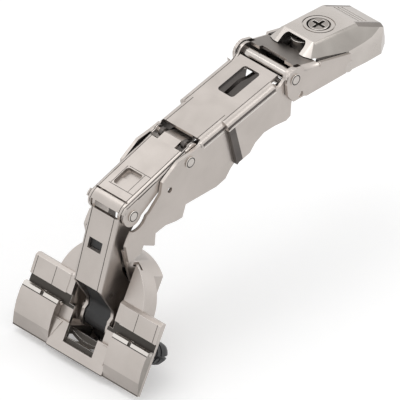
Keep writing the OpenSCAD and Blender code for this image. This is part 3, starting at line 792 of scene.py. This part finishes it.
@dataclass
class Studio:
    """Floor, world, lamps and camera of a plain bright studio.

    Attributes:
        aim: The point that the camera and the lamps look at.
        back: Direction from there to the camera.
        lens: Focal length in millimetres.
        distance: Distance of the camera.
        floor_drop: Gap between the hinge's lowest point and the floor.
        floor_size: Side of the floor.
        floor_glow: Strength of the floor's own light, for the camera alone.
    """

    aim: Vector = field(default_factory=lambda: Vector((2.4, -55.94, -26.73)) * MM)
    back: Vector = field(default_factory=lambda: Vector((1, -1, 1)).normalized())
    lens: float = 1200.0
    distance: float = 4.37
    floor_drop: float = 0.5 * MM
    floor_size: float = 6.0
    floor_glow: float = 0.16

    def world(self) -> None:
        """Makes a world that looks white and lights softly."""
        world = bpy.data.worlds.new("studio")
        bpy.context.scene.world = world
        world.use_nodes = True
        tree = world.node_tree
        make, link = tree.nodes.new, tree.links.new
        soft = tree.nodes["Background"]
        soft.inputs["Color"].default_value = (1, 1, 1, 1)
        soft.inputs["Strength"].default_value = 0.75
        seen = make("ShaderNodeBackground")
        seen.inputs["Color"].default_value = (1, 1, 1, 1)
        seen.inputs["Strength"].default_value = 1.0
        rays = make("ShaderNodeLightPath")
        shiny, any_seen = make("ShaderNodeMath"), make("ShaderNodeMath")
        shiny.operation = any_seen.operation = "MAXIMUM"
        mix = make("ShaderNodeMixShader")
        link(rays.outputs["Is Glossy Ray"], shiny.inputs[0])
        link(rays.outputs["Is Transmission Ray"], shiny.inputs[1])
        link(rays.outputs["Is Camera Ray"], any_seen.inputs[0])
        link(shiny.outputs[0], any_seen.inputs[1])
        link(any_seen.outputs[0], mix.inputs[0])
        link(soft.outputs[0], mix.inputs[1])
        link(seen.outputs[0], mix.inputs[2])
        link(mix.outputs[0], tree.nodes["World Output"].inputs["Surface"])

    def floor(self, lowest: float) -> None:
        """Lays the pale floor.

        Args:
            lowest: Height of the hinge's lowest point.
        """
        Bench.clear()
        bpy.ops.mesh.primitive_plane_add(size=self.floor_size, location=(0, 0, lowest - self.floor_drop))
        floor = bpy.context.active_object
        floor.name = "floor"
        pale = bpy.data.materials.new("pale_floor")
        pale.use_nodes = True
        shader = pale.node_tree.nodes["Principled BSDF"]
        shader.inputs["Base Color"].default_value = (0.97, 0.97, 0.97, 1)
        shader.inputs["Roughness"].default_value = 0.9
        shader.inputs["Specular IOR Level"].default_value = 0.1
        shader.inputs["Emission Color"].default_value = (1, 1, 1, 1)
        rays = pale.node_tree.nodes.new("ShaderNodeLightPath")
        glow = pale.node_tree.nodes.new("ShaderNodeMath")
        glow.operation = "MULTIPLY"
        glow.inputs[1].default_value = self.floor_glow
        pale.node_tree.links.new(rays.outputs["Is Camera Ray"], glow.inputs[0])
        pale.node_tree.links.new(glow.outputs[0], shader.inputs["Emission Strength"])
        floor.data.materials.append(pale)
        floor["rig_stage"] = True

    def lamp(self, name: str, towards: Triple, size: float, power: float, distance: float = 1.2) -> None:
        """Hangs a soft square lamp that points at the hinge.

        Args:
            name: The lamp's name.
            towards: Direction from the hinge to the lamp.
            size: Side of the lamp.
            power: Power in watts.
            distance: Distance from the hinge.
        """
        way = Vector(towards).normalized()
        Bench.clear()
        bpy.ops.object.light_add(type="AREA", location=self.aim + way * distance)
        lamp = bpy.context.active_object
        lamp.name = name
        lamp.data.size = size
        lamp.data.energy = power
        lamp.rotation_euler = way.to_track_quat("Z", "Y").to_euler()

    def camera(self) -> None:
        """Sets up the camera at the photograph's angle."""
        Bench.clear()
        bpy.ops.object.camera_add(location=self.aim + self.back * self.distance)
        camera = bpy.context.active_object
        camera.rotation_euler = self.back.to_track_quat("Z", "Y").to_euler()
        camera.data.lens = self.lens
        camera.data.sensor_width = 36
        camera.data.clip_end = 50
        bpy.context.scene.camera = camera

    def build(self, lowest: float) -> None:
        """Makes the whole studio.

        Args:
            lowest: Height of the hinge's lowest point.
        """
        self.world()
        self.floor(lowest)
        self.lamp("key", towards=(-0.25, -0.2, 1), size=0.8, power=2.6)
        self.lamp("edge", towards=(0.6, 0.5, 0.65), size=0.35, power=1.2)
        self.camera()
        bpy.context.scene.view_settings.view_transform = "Standard"


@dataclass
class Arm:
    """The arm that clips to the mounting plate, with its adjusting screws.

    Attributes:
        shop: The nodes and finishes.
        facet: Least height and distance from the middle of the side facet darkened with painted shade, and
            its front end.
        slope_start: Front end of the rear slope.
        slope_band: Half-width of the slope between its bands of painted shade.
        web: Half-width and least height of the channel's web.
        flange_half: Half-width between the channel's flanges.
        screw_rounding: Rounding of the screw's and cam's edges.
        block_rounding: Rounding of the plain blocks' edges.
        seam_slope: Fall of the casting's seam, in degrees.
        strip_size: Size of the strip behind the seam, a dark piece that stands in for the seam's shadow.
        strip_place: Middle of the right strip, before it leans.
        plate_size: Size of the dark plate in the channel's floor, which stands in for the shade there.
        plate_place: Middle of the plate.
    """

    shop: Workshop
    facet: Triple = (7.3 * MM, 7.3 * MM, -10 * MM)
    slope_start: float = 11.6 * MM
    slope_band: float = 6.3 * MM
    web: Pair = (9 * MM, 8 * MM)
    flange_half: float = 11.5 * MM
    screw_rounding: float = 0.12 * MM
    block_rounding: float = 0.1 * MM
    seam_slope: float = 13.64
    strip_size: Triple = (1.0 * MM, 13.8 * MM, 1.8 * MM)
    strip_place: Triple = (10.7 * MM, -3.35 * MM, 8.34 * MM)
    plate_size: Triple = (16.2 * MM, 10.4 * MM, 0.6 * MM)
    plate_place: Triple = (0.0, -7.5 * MM, 1.2 * MM)

    def build(self) -> None:
        """Makes the arm's pieces."""
        scores = (
            Score(LEVEL * self.facet[0], LEVEL),
            Score(BESIDE * self.slope_band, BESIDE),
            Score(BESIDE * -self.slope_band, BESIDE),
        )
        # The side facet, the hollow's walls, the slope's edge bands and the grip grooves take painted shade
        Pressing("arm_body", Body.ARM, Slot.CASTING, CAST, scores=scores, zones=(
            Zone(SHADED_SIDE, self._facet),
            Zone(SHADE_LINE, self._hollow),
            Zone(SHADE, lambda c, n: n.z > 0.7 and c.y > self.slope_start and abs(c.x) > self.slope_band),
            Zone(SHADE, self._grooved),
        )).build(self.shop)
        # Dark strips along the casting's seam: painted shadow in place of the seam's dark line
        across, back, height = self.strip_place
        for side in BOTH_SIDES:
            self._block(f"seam_shadow_strip_{'right' if side > 0 else 'left'}", (side * across, back, height),
                        self.strip_size, Body.ARM, Slot.CASTING, (SHADE_LINE, DEEP), self.seam_slope)
        # The channel's web, the insides of its flanges and its edge round the pivot take painted shade
        Pressing("arm_channel", Body.CHANNEL, zones=(
            Zone(SHADE, lambda c, n: n.z > 0.9 and abs(c.x) < self.web[0] and c.z > self.web[1]),
            Zone(SHADE_LINE, lambda c, n: abs(n.x) > 0.9 and abs(c.x) < self.flange_half and n.x * c.x < 0),
            Zone(SHADE_LINE, self._round_pivot, over_edges=True),
        )).build(self.shop)
        # A plate in the channel's floor, painted deep shade, stands in for the shade inside the channel
        self._block("channel_floor_shade_plate", self.plate_place, self.plate_size,
                    Body.CHANNEL, Slot.NICKEL, (DEEP, SHADE))
        Pressing("release_lever", Body.RELEASE).build(self.shop)
        Pressing("side_screw", Body.SCREW, Slot.DARK, HEAD, rounding=self.screw_rounding, zones=(
            Zone(SHADE_LINE, self._cross),
        )).build(self.shop)
        Pressing("depth_cam", Body.CAM, Slot.DARK, DARK, rounding=self.screw_rounding).build(self.shop)
        # The record has this pin on the channel. It is round and on the fold's axis, so it stays in place.
        Rivet("front_pin", Body.OUTER).build(self.shop)

    def _block(self, name: str, middle: Triple, size: Triple, body: Body, slot: Slot,
               finishes: tuple[Finish, Finish], slope: float = 0.0) -> None:
        """Makes a plain block with rounded edges.

        Args:
            name: The block's name.
            middle: Its middle, before it leans.
            size: Its width, length and height.
            body: The body it rides on.
            slot: The record's slot of its finish.
            finishes: Finish of its faces and of its edges.
            slope: Its lean about the middle of its upper face, in degrees.
        """
        Bench.clear()
        bpy.ops.mesh.primitive_cube_add(size=1, location=middle)
        block = bpy.context.active_object
        block.name = name
        block.data.name = name
        bpy.ops.transform.resize(value=size)
        if slope:
            across, back, height = middle
            bpy.ops.transform.rotate(value=math.radians(slope), orient_axis="X",
                                     center_override=(across, back, height + size[2] / 2))
        Bench.settle(block)
        self.shop.dress(block, *finishes)
        Bench.round_edges(block, self.block_rounding, EDGE_INDEX)
        Bench.smooth(block)
        self.shop.place(block, body, slot)

    def _facet(self, centre: Vector, normal: Vector) -> bool:
        """Tells the cover's side facet, darkened with painted shade."""
        foot, half, front = self.facet
        return abs(normal.x) > 0.6 and normal.z > -0.1 and abs(centre.x) > half \
            and centre.y > front and centre.z > foot

    @staticmethod
    def _round_pivot(centre: Vector, normal: Vector) -> bool:
        """Tells the channel's edge round the pivot of its tilt, which takes painted shade."""
        place, height, reach, least = 4.1 * MM, 2.1 * MM, 3.0 * MM, 11.3 * MM
        across = math.hypot(centre.y - place, centre.z - height)
        return across < reach and abs(centre.x) > least and abs(normal.x) < 0.97

    def _grooved(self, centre: Vector, normal: Vector) -> bool:
        """Tells the walls and floors of the grip grooves on the rear slope, which take painted shade."""
        place, height, fall = 11.5 * MM, 13.3 * MM, 0.496
        half, end, least, most = 7.2 * MM, 23 * MM, 0.06 * MM, 1.1 * MM
        slope = height - (centre.y - place) * fall
        return abs(centre.x) < half and self.slope_start < centre.y < end \
            and slope - most < centre.z < slope - least and normal.z > -0.2

    @staticmethod
    def _hollow(centre: Vector, normal: Vector) -> bool:
        """Tells the walls of the casting's hollow and mouth from its outside, which take painted shade."""
        half, roof_half, roof_foot = 10 * MM, 9.7 * MM, 2 * MM
        inward = abs(centre.x) < half and normal.x * centre.x < 0 and abs(normal.x) > 0.5
        return inward or (normal.z < -0.3 and centre.z > roof_foot and abs(centre.x) < roof_half)

    @staticmethod
    def _cross(centre: Vector, normal: Vector) -> bool:
        """Tells the walls and floor of the cross recess, which take painted shade."""
        place, reach, low, high = 1.6 * MM, 3 * MM, 12 * MM, 14.19 * MM
        return math.hypot(centre.x, centre.y - place) < reach and low < centre.z < high


@dataclass
class Linkage:
    """The nested links between the arm and the cup, with their pins. Its lengths are in millimetres.

    Attributes:
        shop: The nodes and finishes.
        outer_face: Height of the outer link's upper face over its line, and its rise along it.
        band_tilt: Rise of the cuts that border the band of painted shade.
        band: Depth of the upper edge of the band of painted shade, its height and that of the lip under it,
            which takes a painted highlight.
        band_run: Near and far end of the band.
        band_depth: How far it is pressed in.
        step_run: Near and far end of the strip of painted shade at the step.
        step_half: Least distance of that strip from the middle.
        folds: Place, near and far end of the lines of painted shade along the folds.
        far_edges: The same for the link's far edge.
        far_width: Width of the lines there.
        inner_face: The same as outer_face, for the inner link.
        pocket_half: Half-width of the pocket.
        pocket_foot: Depth of its walls.
        floor_step: How far the deeper half of the floor is pressed in.
        fold_cup: Place of the cup link's folds.
    """

    shop: Workshop
    outer_face: Pair = (2.86, 0.0231)
    band_tilt: float = 0.023
    band: Triple = (1.6, 1.35, 0.5)
    band_run: Pair = (7.6, 40.5)
    band_depth: float = 0.3
    step_run: Pair = (27.3, 30.2)
    step_half: float = 8.0
    folds: tuple[Triple, ...] = ((8.7, 7.6, 30.0), (7.3, 30.0, 40.5))
    far_edges: tuple[Triple, ...] = ((10.85, 1.0, 28.4), (9.45, 30.1, 43.0))
    far_width: float = 0.32
    inner_face: Pair = (3.5, 0.069)
    pocket_half: float = 3.75
    pocket_foot: float = 1.35
    floor_step: float = 0.5
    fold_cup: float = 5.0

    def build(self) -> None:
        """Makes the links and pins."""
        self._outer()
        self._inner()
        self._cup_link()
        # The control link is dark all over, its faces and edges in painted shade
        Pressing("control_link", Body.CONTROL, Slot.NICKEL, DEEP, SHADE).build(self.shop)
        Pressing("damper_housing", Body.CUP_ARM, Slot.PLASTIC, PLASTIC, PLASTIC).build(self.shop)
        Rivet("middle_pin", Body.OUTER).build(self.shop)
        Rivet("knuckle_pin", Body.INNER).build(self.shop)

    def _outer(self) -> None:
        """Makes the long outer link, with painted shade lines along its folds, a band of painted shade below
        them over a painted highlight, and painted shade down its step and on its insides.
        """
        line, up = OUTER_LINE, OUTER_LINE.up
        below = partial(line.below, self.outer_face)
        tilt = (up - line.along * self.band_tilt).normalized()
        near, beyond = self.band_run
        step_near, step_beyond = self.step_run
        top, height, lip = self.band
        foot, lip_foot = top + height, top + height + lip

        def banded(centre: Vector, normal: Vector) -> bool:
            """Tells the outside of the band of painted shade under the folds."""
            return top < below(centre) < foot and abs(normal.x) > 0.4 and normal.x * centre.x > 0 \
                and near < line.run(centre) < beyond

        def lipped(centre: Vector, normal: Vector) -> bool:
            """Tells the lip under the band, which takes a painted highlight."""
            return foot < below(centre) < lip_foot and normal.x * centre.x > 0 \
                and near < line.run(centre) < beyond

        def stepped(centre: Vector, normal: Vector) -> bool:
            """Tells the strip of painted shade down the link's step."""
            return step_near < line.run(centre) < step_beyond and abs(centre.x) > self.step_half * MM \
                and normal.x * centre.x > -0.1 * MM and below(centre) > lip_foot - 0.05

        scores = [Score(line.at(0, self.outer_face[0] - depth), tilt) for depth in (top, foot, lip_foot)]
        scores += [Score(line.at(run), line.along) for run in (near, step_near, beyond)]
        creases = [
            Crease.beside(side * place * MM,
                          lambda c, n, a=start, b=end: n.dot(up) > 0.9 and a < line.run(c) < b)
            for side in BOTH_SIDES for place, start, end in self.folds
        ]
        creases += [
            Crease.beside(-place * MM, lambda c, n, a=start, b=end: n.dot(up) > 0.2 and a < line.run(c) < b,
                          self.far_width * MM)
            for place, start, end in self.far_edges
        ]
        Pressing("outer_link", Body.OUTER, scores=tuple(scores), creases=tuple(creases), zones=(
            Zone(DEEP, banded, self.band_depth * MM),
            Zone(EDGE, lipped),
            Zone(DEEP, stepped, over_edges=True),
            # The link's insides take painted shade
            Zone(DEEP, lambda c, n: abs(n.x) > 0.9 and n.x * c.x < 0),
        )).build(self.shop)

    def _inner(self) -> None:
        """Makes the inner link, with painted shade lines along its folds, sides and pocket rim, and a
        stepped pocket whose walls take painted shade.
        """
        line, up = INNER_LINE, INNER_LINE.up
        below = partial(line.below, self.inner_face)
        tilt = (up - line.along * self.inner_face[1]).normalized()
        near, middle, beyond = 13.85, 18.2, 22.55
        floor_top, floor_foot = 0.8, 1.5
        rim_half, rim_length, rim_width = 3.95, 2.6, 0.22
        side_depth, side_most, side_end = 1.0, 1.6, 26
        fold, apart = 6.5, 1.15

        def pocketed(centre: Vector, normal: Vector) -> bool:
            """Tells the pocket's walls."""
            return abs(centre.x) < self.pocket_half * MM and near < line.run(centre) < beyond \
                and normal.dot(up) < 0.6 and 0 < below(centre) < self.pocket_foot

        def deeper(centre: Vector, normal: Vector) -> bool:
            """Tells the half of the pocket's floor that lies deeper."""
            return abs(centre.x) < self.pocket_half * MM and near < line.run(centre) < middle \
                and normal.dot(up) > 0.9 and floor_top < below(centre) < floor_foot

        def sided(centre: Vector, normal: Vector) -> bool:
            """Tells the outsides along which the side lines run."""
            return normal.x * centre.x > 0 and abs(normal.x) > 0.5 and below(centre) < side_most \
                and line.run(centre) < side_end

        creases = [
            Crease(line.at(run), line.along, lambda c, n: n.dot(up) > 0.9 and abs(c.x) < rim_length * MM,
                   rim_width * MM, up)
            for run in (near, beyond)
        ]
        creases += [
            Crease.beside(side * rim_half * MM,
                          lambda c, n: n.dot(up) > 0.9 and near < line.run(c) < beyond, rim_width * MM, up)
            for side in BOTH_SIDES
        ]
        creases += [
            Crease.beside(side * place * MM, lambda c, n: n.dot(up) > 0.3)
            for side in BOTH_SIDES for place in (fold, fold + apart)
        ]
        creases.append(Crease(line.at(0, self.inner_face[0] - side_depth), tilt, sided))
        Pressing("inner_link", Body.INNER, creases=tuple(creases),
                 scores=(Score(line.at(middle), line.along, up),), zones=(
            Zone(NICKEL, deeper, self.floor_step * MM),
            Zone(SHADE, pocketed),
        )).build(self.shop)

    def _cup_link(self) -> None:
        """Makes the cup link, with painted shade lines along its folds and with its sides darkened by
        painted shade, as in the shade of the linkage.
        """
        creases = tuple(
            Crease.beside(side * self.fold_cup * MM, lambda c, n: n.y < -0.8) for side in BOTH_SIDES
        )
        Pressing("cup_link", Body.CUP_ARM, creases=creases, zones=(
            Zone(BAND, lambda c, n: abs(n.x) > 0.9 and n.x * c.x > 0),
        )).build(self.shop)


@dataclass
class Cup:
    """The cup that sits in the door, with its clamp and dowels.

    Attributes:
        shop: The nodes and finishes.
        notches: Near and far end of the notch in each wing's upper edge.
        notch_depth: Depth of the notches.
        steps: Places of the painted shade lines at the steps of the raised strips.
        mouth_heights: Lower and upper border of the painted shade inside the mouth.
        gap_heights: Lower and upper border of the gap over the wings, which takes painted shade.
        wing_near: Distance of the wings from the middle.
        wing_top: Height of the painted shade lines under their upper edges.
        line_width: Width of the other lines.
    """

    shop: Workshop
    notches: Pair = (19.6 * MM, 21.0 * MM)
    notch_depth: float = 0.4 * MM
    steps: Pair = (19.0 * MM, 27.7 * MM)
    mouth_heights: Pair = (-62 * MM, -56 * MM)
    gap_heights: Pair = (-51.5 * MM, -47.9 * MM)
    wing_near: float = 12.8 * MM
    wing_top: float = -50.6 * MM
    line_width: float = 0.25 * MM

    def build(self) -> None:
        """Makes the cup's pieces."""
        self._cup()
        self._clamp_lever()
        for node in ("dowel_left", "dowel_right"):
            Pressing(node, Body.CUP, Slot.PLASTIC, PLASTIC, PLASTIC).build(self.shop)

    def _cup(self) -> None:
        """Makes the cup, with painted shade lines at the steps of its raised strips and painted shade round
        its clamp.
        """
        out, half = Vector((0, -0.88, 0.47)), 7.3 * MM
        strip_foot, strip_top = -47.7 * MM, -41.4 * MM
        cuts = [(BESIDE, half), (BESIDE, -half), (LEVEL, self.gap_heights[0])]
        cuts += [(LEVEL, self.mouth_heights[1]), (LEVEL, self.mouth_heights[0])]
        creases = tuple(
            Crease.beside(side * place, lambda c, n: n.y < -0.8 and strip_foot < c.z < strip_top,
                          self.line_width, out)
            for side in BOTH_SIDES for place in self.steps
        )
        Pressing("cup", Body.CUP, creases=creases,
                 scores=tuple(Score(way * place, way, out) for way, place in cuts), zones=(
            Zone(SHADE_LINE, self._gap),
            Zone(SHADE_LINE, self._mouth),
        )).build(self.shop)

    def _gap(self, centre: Vector, normal: Vector) -> bool:
        """Tells the gap between the raised strips and the wings, which takes painted shade."""
        foot, top = self.gap_heights
        front = -101 * MM
        return normal.y < -0.8 and abs(centre.x) > self.wing_near and foot < centre.z < top \
            and centre.y < front

    def _mouth(self, centre: Vector, normal: Vector) -> bool:
        """Tells the inside of the mouth's foot, which takes painted shade."""
        foot, top = self.mouth_heights
        half, more, back = 8.25 * MM, 3 * MM, -110.2 * MM
        return (normal.y < -0.3 or normal.x * centre.x < 0) and abs(centre.x) < half \
            and foot - more < centre.z < top and centre.y > back

    def _notched(self, centre: Vector, normal: Vector) -> bool:
        """Tells the notches in the wings' upper edges."""
        near, beyond = self.notches
        return normal.z > 0.5 and near < abs(centre.x) < beyond and centre.z > self.wing_top

    def _clamp_lever(self) -> None:
        """Makes the clamp lever, with notched upper edges and painted shade lines, with painted shade on its
        ends, on the wings' inner ends, in the notches and in a band over each lower edge, and with a painted
        highlight on its upward faces.
        """
        near, beyond, tip = 12.5 * MM, 13.1 * MM, 28.9 * MM
        foot, top, tab_foot = -62.7 * MM, -59.3 * MM, -50.5 * MM
        foot_line, foot_width = -63.9 * MM, 0.4 * MM
        creases = (
            Crease(LEVEL * foot_line, LEVEL, lambda c, n: n.y < -0.7, foot_width),
            Crease(LEVEL * self.wing_top, LEVEL,
                   lambda c, n: n.y < -0.5 and abs(c.x) > self.wing_near, self.line_width),
        )
        scores = [Score(BESIDE * side * place, BESIDE) for side in BOTH_SIDES for place in self.notches]
        scores.append(Score(LEVEL * self.wing_top, LEVEL))
        Pressing("clamp_lever", Body.CLAMP, scores=tuple(scores),
                 creases=creases, zones=(
            # Ends, wings' inner ends, lower band and notches take painted shade; upward faces take a painted
            # highlight
            Zone(SHADED_SIDE, lambda c, n: abs(n.x) > 0.9 and abs(c.x) > tip),
            Zone(SHADE, lambda c, n: abs(n.x) > 0.9 and near < abs(c.x) < beyond),
            Zone(BAND, lambda c, n: n.y < -0.9 and foot < c.z < top and abs(c.x) > self.wing_near),
            Zone(SHADE_LINE, self._notched, self.notch_depth),
            Zone(EDGE, lambda c, n: n.z > 0.5 and c.z > tab_foot and not self._notched(c, n)),
        )).build(self.shop)


@dataclass
class PlainPins:
    """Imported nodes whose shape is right, and which only need a finish.

    Attributes:
        shop: The nodes and finishes.
        finish: Their finish.
    """

    shop: Workshop
    finish: Finish = PIN

    def build(self) -> None:
        """Dresses the nodes that no piece replaces."""
        for name, node in self.shop.nodes.items():
            if not node.hide_render:
                self.shop.dress(node, self.finish)
                LOG.info("%s keeps its shape", name)


def main() -> None:
    """Builds the looks and the studio, with the floor under the model's lowest point."""
    logging.basicConfig(level=logging.INFO, format="%(message)s")
    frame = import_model()
    model_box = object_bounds()
    shop = Workshop(frame["nodes"])
    Arm(shop).build()
    Linkage(shop).build()
    Cup(shop).build()
    PlainPins(shop).build()
    Studio().build(model_box[0].z)


if __name__ == "__main__":
    main()
